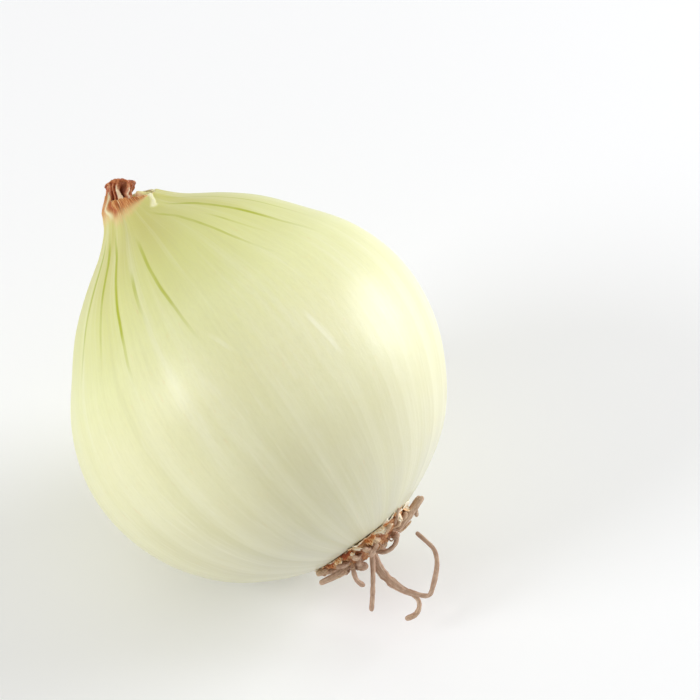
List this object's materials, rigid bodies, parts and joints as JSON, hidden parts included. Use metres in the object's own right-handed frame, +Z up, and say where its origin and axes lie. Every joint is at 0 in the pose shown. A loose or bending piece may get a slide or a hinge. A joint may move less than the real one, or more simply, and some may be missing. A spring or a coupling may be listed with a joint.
{
  "type": "onion",
  "caption": "Whole peeled sweet onion lying on its side, with a round glossy bulb, a torn open neck, a withered neck stub and a dry root tuft",
  "frame": {"origin": "on the flat spot that the onion lies on, straight under the middle of the bulb's widest girth", "axes": "+Z is up, and the surface that the onion lies on is z = 0. The neck points to -X and up at 34.6 degrees, and the roots point to +X and down. +Y completes the frame."},
  "size_m": [0.0952, 0.0838, 0.0819],
  "materials": {
    "flesh": "glossy moist scale leaf, pale cream green",
    "dry_neck": "matte withered leaf tissue, red brown",
    "dry_root": "matte dry root fibre, tan brown"
  },
  "bodies": {
    "root": {"bulb": "flesh", "neck_stub": "dry_neck", "root_tuft": "dry_root"}
  },
  "joints": []
}
